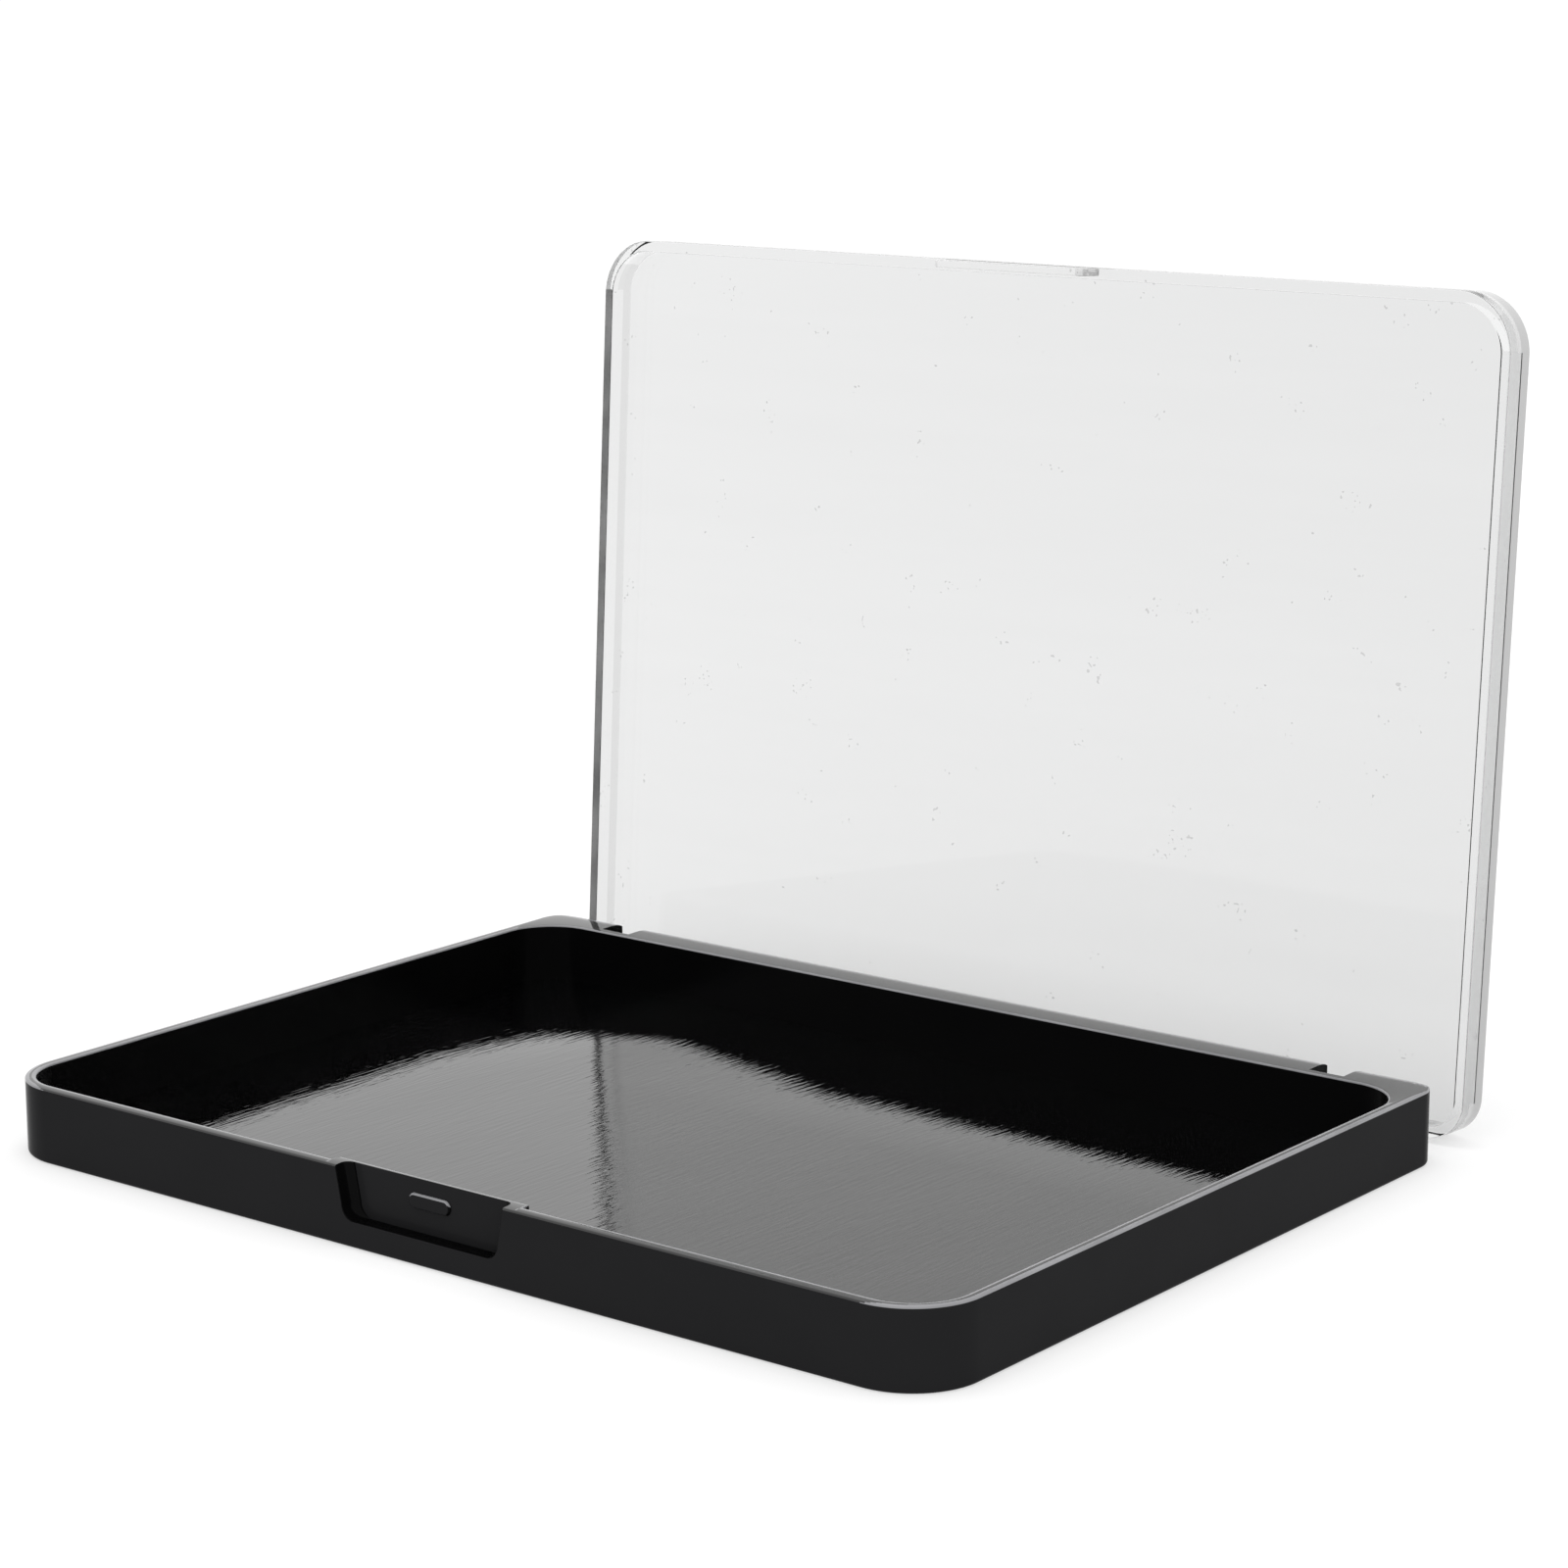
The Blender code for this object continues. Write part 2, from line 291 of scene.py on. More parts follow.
def well_plan(outset):
    """The well's outline, moved out into the walls by outset."""
    return plan_loop(
        HALF_WIDTH - SIDE_WALL + outset,
        FRONT + FRONT_WALL - outset,
        BACK - BACK_BAR + outset,
        WELL_CORNER + outset,
        WELL_CORNER + outset,
        RECESS_DEPTH + RECESS_BACKING - FRONT_WALL,
    )


def tray_shell():
    """The tray's walls and base, with rounded foot and rim, and a well that is cut too deep."""
    loops = []
    for inward, along in reversed(eased(6)):
        plan = outer_plan(FOOT_ROUND * inward)
        loops.append([(x, y, FOOT_ROUND * (1 - along)) for x, y in plan])
    edge_heights = [top_height(y) for _, y in outer_plan(0)]
    for inward, along in eased():
        plan = outer_plan(RIM_ROUND * inward)
        heights = [height - RIM_CROWN - RIM_ROUND * (1 - along) for height in edge_heights]
        loops.append([(x, y, z) for (x, y), z in zip(plan, heights)])
    rim_outer = outer_plan(RIM_ROUND)
    rim_inner = well_plan(RIM_ROUND)
    for step in range(1, RIM_LOOPS + 1):
        share = step / RIM_LOOPS
        drop = RIM_CROWN * (2 * share - 1) ** 2
        loop = []
        for (x0, y0), (x1, y1) in zip(rim_outer, rim_inner):
            y = y0 + (y1 - y0) * share
            loop.append((x0 + (x1 - x0) * share, y, top_height(y) - drop))
        loops.append(loop)
    for inward, along in reversed(eased()):
        plan = well_plan(RIM_ROUND * inward)
        loops.append([(x, y, TRAY_TOP - RIM_CROWN - RIM_ROUND * (1 - along)) for x, y in plan])
    loops.append([(x, y, FLOOR_TOP / 2) for x, y in well_plan(0)])
    return loft("tray_moulding", loops)


def smooth_step(value):
    """0 below 0, 1 above 1, and a smooth rise between."""
    value = np.clip(value, 0, 1)
    return value * value * (3 - 2 * value)


def floor_height(x, y):
    """Height of the well's floor: slow waves, and a slight fall to the back and the left."""
    wave = 0.000014 * np.sin(x * 95 + 0.6) * np.sin(y * 120 + 1.1)
    wave += 0.000008 * np.sin(x * 210 - y * 60 + 2.0)
    fall = smooth_step((y - 0.012) / 0.040) * smooth_step((x + 0.052) / 0.050)
    corner = smooth_step((y - 0.008) / 0.040) * smooth_step((-0.046 - x) / 0.040)
    left = smooth_step((-0.055 - x) / 0.038)
    return FLOOR_TOP + wave - FALL_BACK * fall - FALL_CORNER * corner - FALL_LEFT * left


def floor_slab():
    """The floor as a slab with a finely divided top, buried in the walls all round."""
    half = HALF_WIDTH - SIDE_WALL + SLAB_BURY
    xs = np.linspace(-half, half, 181)
    ys = np.linspace(FRONT + FRONT_WALL - SLAB_BURY, BACK - BACK_BAR + SLAB_BURY, 131)
    grid_x, grid_y = np.meshgrid(xs, ys, indexing="ij")
    grid_z = floor_height(grid_x, grid_y)
    mesh = bmesh.new()
    top = []
    for column_x, column_y, column_z in zip(grid_x, grid_y, grid_z):
        top.append([mesh.verts.new(point) for point in zip(column_x, column_y, column_z)])
    for left, right in zip(top, top[1:]):
        for row in range(len(ys) - 1):
            mesh.faces.new((left[row], right[row], right[row + 1], left[row + 1]))
    rim = [column[0] for column in top] + top[-1][1:]
    rim += [column[-1] for column in reversed(top[:-1])] + list(reversed(top[0][1:-1]))
    foot = [mesh.verts.new((vert.co.x, vert.co.y, FLOOR_TOP / 4)) for vert in rim]
    for index in range(len(rim)):
        following = (index + 1) % len(rim)
        mesh.faces.new((foot[index], foot[following], rim[following], rim[index]))
    mesh.faces.new(list(reversed(foot)))
    slab = object_from(mesh, "floor_slab")
    outline = well_plan(SLAB_BURY)
    outline_loops = [[(x, y, z) for x, y in outline] for z in (0, TRAY_TOP)]
    combine(slab, loft("well_outline", outline_loops), "INTERSECT")
    return slab


def recess_cutter():
    """The thumb recess, its mouth eased and its top open."""
    top = TRAY_TOP + OVERCUT
    taper = (RECESS_TOP_HALF - RECESS_BOTTOM_HALF) / (TRAY_TOP - RECESS_FLOOR)
    back = FRONT + RECESS_DEPTH
    stations = []
    for inward, along in eased(6):
        stations.append((back - RECESS_FILLET * inward, 0.0, RECESS_FILLET * (1 - along)))
    for inward, along in eased():
        stations.append((FRONT + RECESS_EASE * (1 - along), RECESS_EASE * inward, 0.0))
    stations.append((FRONT - OVERCUT, RECESS_EASE, 0.0))
    loops = []
    for y, grow, narrow in stations:
        radius = RECESS_CORNER + grow
        lower = RECESS_BOTTOM_HALF - RECESS_CORNER - narrow
        top_half = RECESS_TOP_HALF + taper * OVERCUT + grow - narrow
        face = [(-top_half, top)]
        face += arc(-lower, RECESS_FLOOR + RECESS_CORNER, radius, 180, 270)
        face += arc(lower, RECESS_FLOOR + RECESS_CORNER, radius, 270, 360)
        face += [(top_half, top)]
        loops.append([(x, y, z) for x, z in face])
    return loft("recess_cutter", loops)


def catch_bead():
    """The bead that the tab snaps over, with a rounded crown."""
    root = FRONT + RECESS_DEPTH
    loops = []
    stations = [(root + LID_GAP, 0.0)]
    for inward, along in eased(8):
        stations.append((root - BEAD_STAND + BEAD_CROWN * (1 - along), BEAD_CROWN * inward))
    for y, shrink in stations:
        radius = BEAD_HEIGHT / 2 - shrink
        straight = BEAD_HALF - BEAD_HEIGHT / 2
        face = arc(-straight, BEAD_Z, radius, 90, 270) + arc(straight, BEAD_Z, radius, 270, 450)
        loops.append([(x, y, z) for x, z in face])
    return loft("catch_bead", loops)


def notch_cutter(sign):
    """One hinge notch, open to the top and to the back."""
    near, far = sorted((sign * NOTCH_INNER, sign * NOTCH_OUTER))
    front = BACK - BACK_BAR + NOTCH_WALL
    plan = [(near, front), (far, front), (far, BACK + OVERCUT), (near, BACK + OVERCUT)]
    heights = (NOTCH_FLOOR, TRAY_TOP + OVERCUT)
    return loft("notch_cutter", [[(x, y, z) for x, y in plan] for z in heights])


def axis_bar(name, radius, half_length, centre, chamfer=0.0, sides=48):
    """A round bar along X, its ends eased by a chamfer."""
    stations = [(-half_length, radius), (half_length, radius)]
    if chamfer:
        stations = [(-half_length, radius - chamfer), (-half_length + chamfer, radius)]
        stations += [(-x, ring_radius) for x, ring_radius in reversed(stations)]
    loops = []
    for x, ring_radius in stations:
        circle = arc(centre.y, centre.z, ring_radius, 0, 360, sides)[:-1]
        loops.append([(centre.x + x, y, z) for y, z in circle])
    return loft(name, loops)


def pin_centre(sign):
    """The middle of a notch, on the hinge axis."""
    return Vector((sign * (NOTCH_INNER + NOTCH_OUTER) / 2, HINGE.y, HINGE.z))


def tray_region(face):
    """The material slot of one of the tray's faces."""
    centre = face.center
    normal = face.normal
    outward = centre.x * normal.x + centre.y * normal.y > 0
    if on_bead(centre):
        # the bead's crown takes the painted highlight, its right end the painted shade and its
        # face the painted reflection
        if normal.z > 0.3:
            return RIM_EDGE
        return INNER_WALL if normal.x > 0.3 else OUTER_WALL
    rim_foot = top_height(centre.y) - RIM_ROUND - RIM_CROWN
    # rounded rim edges take the painted highlight, all but the front's outer round
    if 0.1 < normal.z < ROUNDED_Z and centre.z > rim_foot:
        front_face = outward and normal.y < -0.03 and abs(normal.x) < 0.03
        return RIM if front_face else RIM_EDGE
    if normal.z > 0.7 and centre.z > TRAY_TOP - RIM_DEPTH:
        return RIM
    if normal.z > 0.9 and in_well(centre) and centre.z < FLOOR_TOP + FLOOR_MARGIN:
        return WELL_FLOOR
    # the recess's ends take the inner walls' painted shade
    in_recess_depth = centre.y < FRONT + RECESS_DEPTH
    recess_end = in_recess_depth and centre.x * normal.x < 0 and abs(normal.x) > 0.1
    # outward walls take the painted reflection, all other walls the painted shade
    if outward and abs(normal.z) < 0.9 and not recess_end:
        return OUTER_WALL
    return INNER_WALL


def on_bead(point):
    """True for a point on the catch bead's rounded face."""
    front = FRONT + RECESS_DEPTH - BEAD_STAND / 4
    return abs(point.x) < BEAD_HALF and point.y < front and abs(point.z - BEAD_Z) < BEAD_HEIGHT / 2


def make_tray(materials):
    """The tray moulding: a shell, the floor in it, the recess, the bead and the hinge notches."""
    tray = tray_shell()
    combine(tray, recess_cutter(), "DIFFERENCE")
    combine(tray, catch_bead(), "UNION")
    for sign in (-1, 1):
        combine(tray, notch_cutter(sign), "DIFFERENCE")
        socket = axis_bar("socket", SOCKET_RADIUS, SOCKET_HALF, pin_centre(sign))
        combine(tray, socket, "DIFFERENCE")
    combine(tray, floor_slab(), "UNION")
    weld(tray)
    tray.data.materials.clear()
    for material in materials:
        tray.data.materials.append(material)
    for face in tray.data.polygons:
        face.material_index = tray_region(face)
    smooth(tray)
    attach(tray, "tray")
    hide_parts("base_tray")
    return tray


def in_well(point):
    """True for a point inside the well's outline."""
    margin = 0.0004
    return (
        abs(point.x) < HALF_WIDTH - SIDE_WALL + margin
        and FRONT + margin < point.y < BACK - BACK_BAR + margin
    )


def make_pins(material):
    """The two hinge pins."""
    half = (PIN_HIGH.x - PIN_LOW.x) / 2
    for side, sign in (("left", -1), ("right", 1)):
        pin = axis_bar(f"pin_{side}", PIN_RADIUS, half, pin_centre(sign), PIN_CHAMFER)
        pin.data.materials.append(material)
        smooth(pin)
        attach(pin, "tray")
        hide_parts(f"hinge_pin_{side}")


# --- Lid ------------------------------------------------------------------------------------

def lid_plan(inset):
    """The lid's outer outline, moved in by inset."""
    return plan_loop(
        LID_HALF - inset,
        LID_FRONT + inset,
        LID_BACK - inset,
        LID_FRONT_CORNER - inset,
        LID_BACK_CORNER - inset,
    )


def hollow_plan(outset):
    """The outline of the space under the lid, moved out by outset."""
    return plan_loop(
        LID_HALF - LID_SIDE_WALL + outset,
        LID_FRONT + LID_FRONT_WALL - outset,
        LID_BACK - LID_SIDE_WALL + outset,
        LID_FRONT_CORNER - LID_FRONT_WALL + outset,
        LID_BACK_CORNER - LID_SIDE_WALL + outset,
    )


def lid_shell():
    """The lid from the middle of its plate out, over its edge, and in under the plate."""
    top = LID_RIM + LID_HEIGHT
    ceiling = top - LID_PLATE
    loops = []
    for inward, along in eased():
        plan = hollow_plan(-LID_INNER_FILLET * (1 - along))
        loops.append([(x, y, ceiling - LID_INNER_FILLET * inward) for x, y in plan])
    for inward, along in reversed(eased()):
        plan = hollow_plan(LID_RIM_ROUND * (1 - along))
        loops.append([(x, y, LID_RIM + LID_RIM_ROUND * inward) for x, y in plan])
    for inward, along in reversed(eased()):
        plan = lid_plan(LID_RIM_ROUND * inward)
        loops.append([(x, y, LID_RIM + LID_RIM_ROUND * (1 - along)) for x, y in plan])
    loops.append([(x, y, top - LID_CORNER_BAND) for x, y in lid_plan(0)])
    loops.append([(x, y, top - LID_EDGE_BAND) for x, y in lid_plan(0)])
    for inward, along in eased():
        plan = lid_plan(LID_TOP_ROUND * inward)
        loops.append([(x, y, top - LID_TOP_ROUND * (1 - along)) for x, y in plan])
    return loft("lid_moulding", loops)


def snap_tab():
    """The tab under the lid's front edge, eased all round."""
    tip = LID_RIM - TAB_DROP
    near = LID_FRONT + FLUSH_SINK
    far = LID_FRONT + TAB_THICKNESS
    stations = []
    for inward, along in reversed(eased()):
        stations.append((near + TAB_EASE * (1 - along), TAB_EASE * inward))
    for inward, along in eased():
        stations.append((far - TAB_EASE * (1 - along), TAB_EASE * inward))
    loops = []
    for y, shrink in reversed(stations):
        radius = TAB_CORNER - shrink
        face = [(-TAB_HALF + shrink, LID_RIM + LID_PLATE)]
        face += arc(-TAB_HALF + TAB_CORNER, tip + TAB_CORNER, radius, 180, 270)
        face += arc(TAB_HALF - TAB_CORNER, tip + TAB_CORNER, radius, 270, 360)
        face += [(TAB_HALF - shrink, LID_RIM + LID_PLATE)]
        loops.append([(x, y, z) for x, z in face])
    return loft("snap_tab", loops)


def hinge_ear(sign):
    """One ear, rounded about the hinge axis and grown from the lid's back wall."""
    inner = NOTCH_INNER + EAR_SIDE_GAP
    outer = NOTCH_OUTER - EAR_SIDE_GAP
    left, right = sorted((sign * inner, sign * outer))
    back = LID_BACK - FLUSH_SINK
    stations = []
    for inward, along in reversed(eased()):
        stations.append((left + EAR_EASE * (1 - along), EAR_EASE * inward))
    for inward, along in eased():
        stations.append((right - EAR_EASE * (1 - along), EAR_EASE * inward))
    loops = []
    for x, shrink in stations:
        radius = EAR_RADIUS - shrink
        tangent = math.degrees(math.asin(min(1.0, (back - shrink) / radius)))
        profile = arc(0, 0, radius, 180, 450 - tangent, 24)
        profile += [
            (back - shrink, LID_RIM + LID_PLATE),
            (LID_BACK - LID_SIDE_WALL, LID_RIM + LID_PLATE),
            (-radius, LID_RIM - EAR_RADIUS / 2),
        ]
        loops.append([(x, y, z) for y, z in profile])
    return loft("hinge_ear", loops)


def lid_region(face):
    """The material slot of one of the lid's faces."""
    centre = face.center
    normal = face.normal
    depth = LID_RIM + LID_HEIGHT - centre.z
    band = LID_EDGE_BAND if abs(normal.x) > 0.999 else LID_CORNER_BAND
    outside = abs(centre.x) > LID_HALF - LID_FRONT_CORNER or abs(normal.y) > 0.9
    inside_hollow = depth > LID_PLATE and in_hollow(centre)
    upright = not inside_hollow and abs(normal.z) < 0.5
    on_tab = abs(centre.x) < TAB_HALF + TAB_EASE and centre.z < LID_RIM
    if on_tab and abs(normal.x) > 0.3 or outside and upright and depth < band:
        return PLATE_EDGE
    if normal.x < -0.999 and centre.x < -LID_HALF + FLUSH_SINK:
        return LEFT_SIDE
    if centre.x < 0 and normal.x < 0.05 and upright and in_lid_corner(centre):
        return LEFT_CORNERS
    return CLEAR


def in_hollow(point):
    """True for a point on the walls of the space under the lid."""
    across = abs(point.x) < LID_HALF - LID_SIDE_WALL / 2
    front = LID_FRONT + LID_FRONT_WALL / 2
    back = LID_BACK - LID_SIDE_WALL / 2
    return across and front < point.y < back and not in_lid_corner(point)


def in_lid_corner(point):
    """True for a point on the outer arc of one of the lid's corners."""
    front_y = LID_FRONT + LID_FRONT_CORNER
    back_y = LID_BACK - LID_BACK_CORNER
    if point.y < front_y:
        radius, y = LID_FRONT_CORNER, front_y
    elif point.y > back_y:
        radius, y = LID_BACK_CORNER, back_y
    else:
        return False
    reach = math.hypot(abs(point.x) - LID_HALF + radius, point.y - y)
    return abs(point.x) > LID_HALF - radius and reach > radius - LID_SIDE_WALL / 2


def make_lid(materials):
    """The lid moulding, shaped closed and turned open about the hinge axis."""
    lid = lid_shell()
    combine(lid, snap_tab(), "UNION")
    for sign in (-1, 1):
        combine(lid, hinge_ear(sign), "UNION")
        middle = Vector((sign * (NOTCH_INNER + NOTCH_OUTER) / 2, 0, 0))
        combine(lid, axis_bar("ear_hole", SOCKET_RADIUS, SOCKET_HALF, middle), "DIFFERENCE")
    weld(lid)
    lid.data.materials.clear()
    for material in materials:
        lid.data.materials.append(material)
    for face in lid.data.polygons:
        face.material_index = lid_region(face)
    smooth(lid)
    lid.data.transform(Matrix.Translation(HINGE) @ Matrix.Rotation(-OPEN_ANGLE, 4, "X"))
    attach(lid, "lid")
    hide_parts("clear_lid")
    return lid


# --- Materials ------------------------------------------------------------------------------

class Nodes:
    """A small helper that builds one node material."""

    def __init__(self, name):
        self.material = bpy.data.materials.new(name)
        self.material.use_nodes = True
        self.tree = self.material.node_tree
        self.shader = self.tree.nodes["Principled BSDF"]
        self.output = self.tree.nodes["Material Output"]

    def add(self, kind, values=None, **settings):
        """A node with its settings and its unlinked input values."""
        node = self.tree.nodes.new(kind)
        for key, value in settings.items():
            setattr(node, key, value)
        for key, value in (values or {}).items():
            node.inputs[key].default_value = value
        return node

    def link(self, source, target):
        """Join an output socket to an input socket."""
        self.tree.links.new(source, target)

    def place(self, scale):
        """Object coordinates, scaled per axis."""
        coordinates = self.add("ShaderNodeTexCoord")
        mapping = self.add("ShaderNodeMapping", {"Scale": scale})
        self.link(coordinates.outputs["Object"], mapping.inputs["Vector"])
        return mapping.outputs["Vector"]

    def noise(self, scale, detail=3.0, roughness=0.5):
        """Noise stretched by the per-axis scale, as a 0 to 1 factor."""
        values = {"Scale": 1.0, "Detail": detail, "Roughness": roughness}
        node = self.add("ShaderNodeTexNoise", values)
        self.link(self.place(scale), node.inputs["Vector"])
        return node.outputs["Fac"]

    def spread(self, source, low, high):
        """A 0 to 1 factor carried to the range low to high."""
        node = self.add("ShaderNodeMapRange", {"To Min": low, "To Max": high})
        self.link(source, node.inputs["Value"])
        return node.outputs["Result"]

    def span(self, source, start, end):
        """How far a value lies from start to end, from 0 to 1."""
        node = self.add("ShaderNodeMapRange", {"From Min": start, "From Max": end})
        self.link(source, node.inputs["Value"])
        return node.outputs["Result"]

    def mix_colours(self, source, dark, light):
        """A colour between dark and light."""
        node = self.add("ShaderNodeMix", data_type="RGBA")
        self.link(source, node.inputs["Factor"])
        for identifier, colour in (("A_Color", dark), ("B_Color", light)):
            socket = self.socket(node.inputs, identifier)
            if isinstance(colour, tuple):
                socket.default_value = (*colour, 1)
            else:
                self.link(colour, socket)
        return self.socket(node.outputs, "Result_Color")

    @staticmethod
    def socket(sockets, identifier):
        """The one of a Mix node's sockets that has this identifier."""
        return [entry for entry in sockets if entry.identifier == identifier][0]

    def math(self, operation, first, second):
        """The result of a Math node on two sockets or values."""
        node = self.add("ShaderNodeMath", operation=operation)
        for socket, value in zip(node.inputs, (first, second)):
            if isinstance(value, (int, float)):
                socket.default_value = value
            else:
                self.link(value, socket)
        return node.outputs[0]

    def bump(self, height, strength, distance, below=None):
        """A bump from a height, laid over another bump if one is given."""
        node = self.add("ShaderNodeBump", {"Strength": strength, "Distance": distance})
        self.link(height, node.inputs["Height"])
        if below is not None:
            self.link(below, node.inputs["Normal"])
        return node.outputs["Normal"]


def black_plastic(name, specular, rough_low, rough_high, dark=0.0008, light=0.0016):
    """Gloss black moulded plastic with a faint skin and finer handling marks."""
    nodes = Nodes(name)
    shader = nodes.shader
    shader.inputs["IOR"].default_value = BLACK_IOR
    shader.inputs["Specular IOR Level"].default_value = specular
    mottle = nodes.noise((60, 60, 60), detail=4)
    colour = nodes.mix_colours(mottle, (dark, dark, dark * 1.05), (light, light, light * 1.05))
    nodes.link(colour, shader.inputs["Base Color"])
    roughness = nodes.spread(nodes.noise((180, 180, 400)), rough_low, rough_high)
    nodes.link(roughness, shader.inputs["Roughness"])
    skin = nodes.bump(nodes.noise((260, 260, 260), detail=2), 0.5, 0.000004)
    marks = nodes.bump(nodes.noise((900, 900, 2600)), 0.5, 0.000001, skin)
    nodes.link(marks, shader.inputs["Normal"])
    return nodes.material


def floor_plastic():
    """The well's floor: mirror gloss over fine tool ridges that run front to back."""
    nodes = Nodes("well_floor")
    shader = nodes.shader
    shader.inputs["IOR"].default_value = BLACK_IOR
    shader.inputs["Specular IOR Level"].default_value = 0.8
    mottle = nodes.noise((60, 60, 60), detail=4)
    colour = nodes.mix_colours(mottle, (0.0012, 0.0012, 0.0013), (0.0020, 0.0020, 0.0021))
    nodes.link(colour, shader.inputs["Base Color"])
    nodes.link(nodes.spread(nodes.noise((120, 120, 120)), 0.02, 0.05), shader.inputs["Roughness"])
    ridges = nodes.bump(nodes.noise((1300, 120, 1), detail=2), 1.0, 0.000036)
    nodes.link(ridges, shader.inputs["Normal"])
    return nodes.material


def clear_nodes(name, dark=CLEAR_DARK, light=CLEAR_LIGHT):
    """Clear moulded plastic with a faint smoky tint, painted shade across and up it, flow marks,
    dust and little mirror gloss.
    """
    nodes = Nodes(name)
    shader = nodes.shader
    shader.inputs["IOR"].default_value = CLEAR_IOR
    shader.inputs["Roughness"].default_value = 0.0
    shader.inputs["Specular Tint"].default_value = (MIRROR_TINT, MIRROR_TINT, MIRROR_TINT, 1)
    flow = nodes.noise((4, 26, 80), detail=4, roughness=0.6)
    place = nodes.add("ShaderNodeSeparateXYZ")
    nodes.link(nodes.place((1, 1, 1)), place.inputs[0])
    # painted shade: the tint runs darker towards +X and down towards the hinge
    across = nodes.span(place.outputs["X"], LID_HALF, -LID_HALF)
    upward = nodes.span(place.outputs["Z"], PAINTED_SHADE_FOOT, PAINTED_SHADE_HEAD)
    painted_shade_and_flow = nodes.math("MULTIPLY", across, PAINTED_SHADE_ACROSS)
    painted_shade_and_flow = nodes.math("ADD", painted_shade_and_flow, nodes.math("MULTIPLY", upward, PAINTED_SHADE_UPWARD))
    painted_shade_and_flow = nodes.math("ADD", painted_shade_and_flow, nodes.math("MULTIPLY", flow, FLOW_MARK_SHARE))
    colour = nodes.mix_colours(painted_shade_and_flow, dark, light)
    dust = nodes.math("GREATER_THAN", nodes.noise((1500, 1500, 1500), detail=0), DUST_LEVEL)
    patches = nodes.math("GREATER_THAN", nodes.noise((170, 170, 170), detail=0), PATCH_LEVEL)
    colour = nodes.mix_colours(nodes.math("MULTIPLY", dust, patches), colour, SPECK)
    waves = nodes.bump(nodes.noise((40, 40, 40), detail=1), 0.5, 0.0000015)
    nodes.link(waves, shader.inputs["Normal"])
    return nodes, colour


def clear_plastic():
    """The clear plastic of the lid's faces and walls."""
    nodes, colour = clear_nodes("clear_plastic")
    nodes.shader.inputs["Transmission Weight"].default_value = 1.0
    nodes.link(colour, nodes.shader.inputs["Base Color"])
    return nodes.material


def plate_edge():
    """The plate's edge, where light led along inside the plate comes out as a pale grey."""
    nodes, colour = clear_nodes("plate_edge", EDGE_DARK, EDGE_LIGHT)
    inside = nodes.add("ShaderNodeNewGeometry").outputs["Backfacing"]
    clearness = nodes.spread(inside, EDGE_CLEARNESS, 1.0)
    nodes.link(clearness, nodes.shader.inputs["Transmission Weight"])
    nodes.link(colour, nodes.shader.inputs["Base Color"])
    return nodes.material


def side_plastic(name, painted_low, painted_high, shade):
    """A left outer face: clear from outside, and where it mirrors from inside, partly painted the
    flat tone shade in place of what it would mirror.
    """
    nodes, colour = clear_nodes(name)
    mirror = nodes.add("ShaderNodeFresnel", {"IOR": CLEAR_IOR})
    inside = nodes.add("ShaderNodeNewGeometry")
    led = nodes.math("MULTIPLY", mirror.outputs[0], inside.outputs["Backfacing"])
    led = nodes.math("GREATER_THAN", led, TOTAL_MIRROR)
    # painted share: how much of the mirroring inside is replaced by the flat tone
    painted_share = nodes.spread(nodes.noise((30, 30, 60), detail=2), painted_low, painted_high)
    shaded = nodes.math("MULTIPLY", led, painted_share)
    colour = nodes.mix_colours(shaded, colour, (shade, shade, shade))
    nodes.link(colour, nodes.shader.inputs["Base Color"])
    nodes.link(nodes.spread(shaded, 1.0, 0.0), nodes.shader.inputs["Transmission Weight"])
    return nodes.material


def pin_metal():
    """Drawn steel wire."""
    nodes = Nodes("pin_steel")
    shader = nodes.shader
    shader.inputs["Metallic"].default_value = 1.0
    streaks = nodes.noise((150, 4000, 4000), detail=3)
    colour = nodes.mix_colours(streaks, (0.42, 0.43, 0.45), (0.66, 0.67, 0.69))
    nodes.link(colour, shader.inputs["Base Color"])
    nodes.link(nodes.spread(streaks, 0.2, 0.38), shader.inputs["Roughness"])
    return nodes.material


def stage_paper():
    """The pale, faintly lit sheet that the object stands on."""
    nodes = Nodes("paper")
    shader = nodes.shader
    shader.inputs["Roughness"].default_value = 0.9
    shader.inputs["Specular IOR Level"].default_value = 0.0
    shader.inputs["Emission Color"].default_value = (1, 1, 1, 1)
    shader.inputs["Emission Strength"].default_value = FLOOR_GLOW
    mottle = nodes.noise((40, 40, 40))
    colour = nodes.mix_colours(mottle, (0.445, 0.445, 0.445), (0.455, 0.455, 0.455))
    nodes.link(colour, shader.inputs["Base Color"])
    return nodes.material


# --- Stage ----------------------------------------------------------------------------------

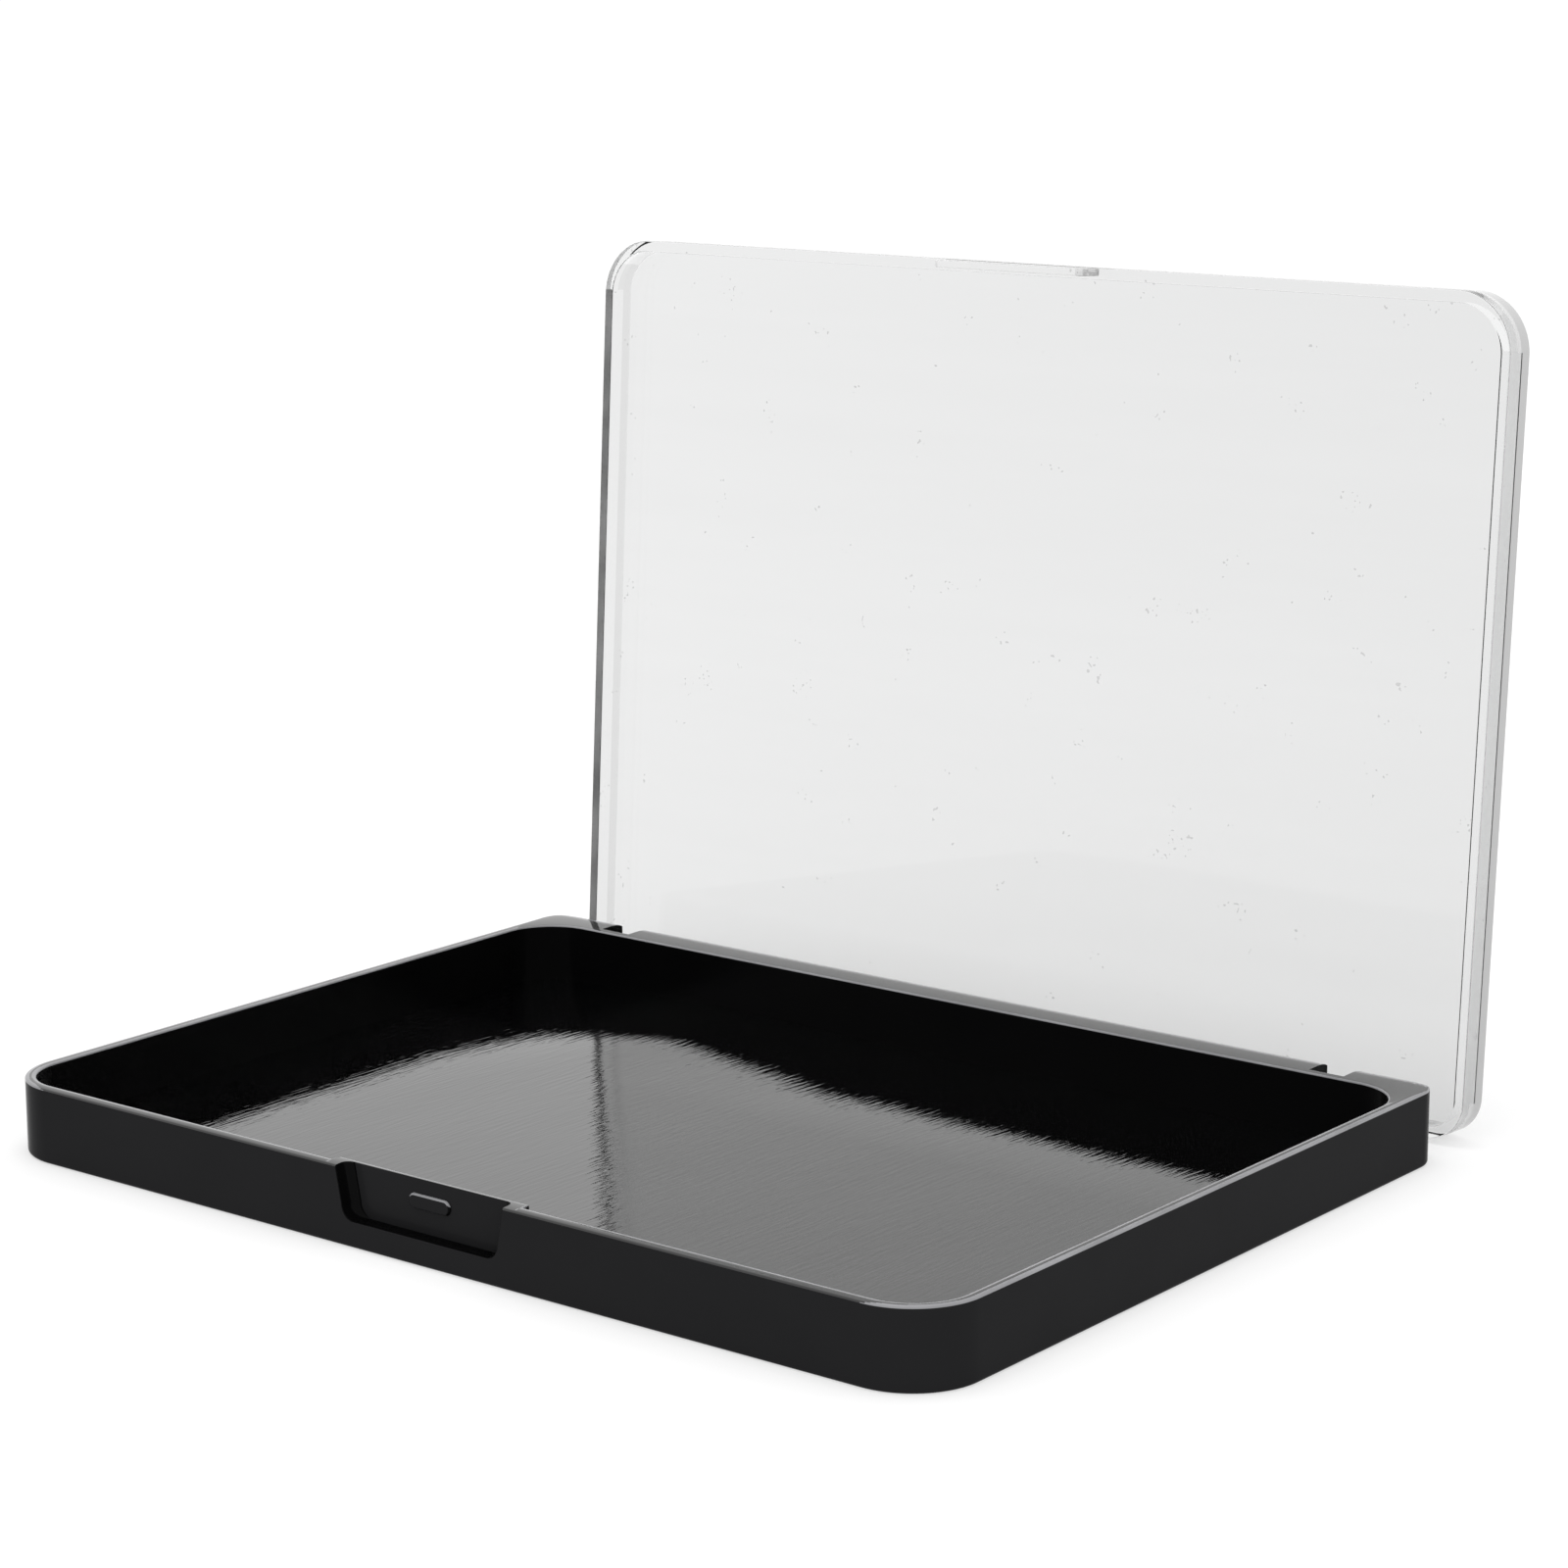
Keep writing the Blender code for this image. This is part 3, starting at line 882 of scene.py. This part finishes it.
def make_stage():
    """Pale floor, an even white surround and a softbox overhead."""
    mesh = bmesh.new()
    bmesh.ops.create_grid(mesh, x_segments=1, y_segments=1, size=FLOOR_SIZE / 2)
    floor = object_from(mesh, "floor")
    floor.data.materials.append(stage_paper())
    world = bpy.data.worlds.new("studio")
    world.use_nodes = True
    background = world.node_tree.nodes["Background"]
    background.inputs["Color"].default_value = (1, 1, 1, 1)
    background.inputs["Strength"].default_value = SKY_STRENGTH
    bpy.context.scene.world = world
    lamp = bpy.data.lights.new("softbox", "AREA")
    lamp.size = SOFTBOX_SIZE
    lamp.energy = SOFTBOX_WATTS
    softbox = bpy.data.objects.new("softbox", lamp)
    softbox.location = (0, 0, SOFTBOX_HEIGHT)
    softbox.visible_glossy = False
    bpy.context.scene.collection.objects.link(softbox)


def make_camera():
    """The camera at the object's front right, a little above the open lid's middle."""
    level = math.cos(CAMERA_TILT)
    back = Vector((
        math.sin(CAMERA_TURN) * level,
        -math.cos(CAMERA_TURN) * level,
        math.sin(CAMERA_TILT),
    ))
    right = (-back).cross(Vector((0, 0, 1))).normalized()
    up = right.cross(-back)
    turned_right = right * math.cos(CAMERA_ROLL) + up * math.sin(CAMERA_ROLL)
    turned_up = up * math.cos(CAMERA_ROLL) - right * math.sin(CAMERA_ROLL)
    data = bpy.data.cameras.new("camera")
    data.lens = CAMERA_LENS
    camera = bpy.data.objects.new("camera", data)
    bpy.context.scene.collection.objects.link(camera)
    matrix = Matrix((turned_right, turned_up, back)).transposed().to_4x4()
    matrix.translation = CAMERA_PLACE
    camera.matrix_world = matrix
    bpy.context.scene.camera = camera


def set_view():
    """Plain display of the scene's light, so that white stays white."""
    settings = bpy.context.scene.view_settings
    settings.view_transform = "Standard"
    settings.look = "None"


set_view()
make_camera()
make_stage()
make_tray([
    black_plastic("rim", 0.65, 0.04, 0.09),
    # a lit copy of the black plastic: lighter base colour with little gloss, painted reflection of
    # the pale floor on the outer walls
    black_plastic("outer_wall_painted_reflection", 0.014, 0.06, 0.12, 0.0128, 0.0158),
    # a shaded copy with its gloss mostly taken away and a darker base than the outer walls:
    # painted shade on the well's and recess's walls
    black_plastic("inner_wall_painted_shade", 0.035, 0.08, 0.14, 0.0016, 0.0028),
    floor_plastic(),
    # a pale base colour on the rounded rim edges: painted highlight
    black_plastic("rim_edge_painted_highlight", 0.7, 0.12, 0.24, 0.10, 0.30),
])
make_pins(pin_metal())
make_lid([
    clear_plastic(),
    plate_edge(),
    # painted shade: near black on the left side where it mirrors from inside; painted light: pale
    # grey in the left corners there
    side_plastic("left_side_painted_shade", 0.7, 1.1, 0.004),
    side_plastic("left_corners_painted_light", 0.5, 0.8, 0.45),
])
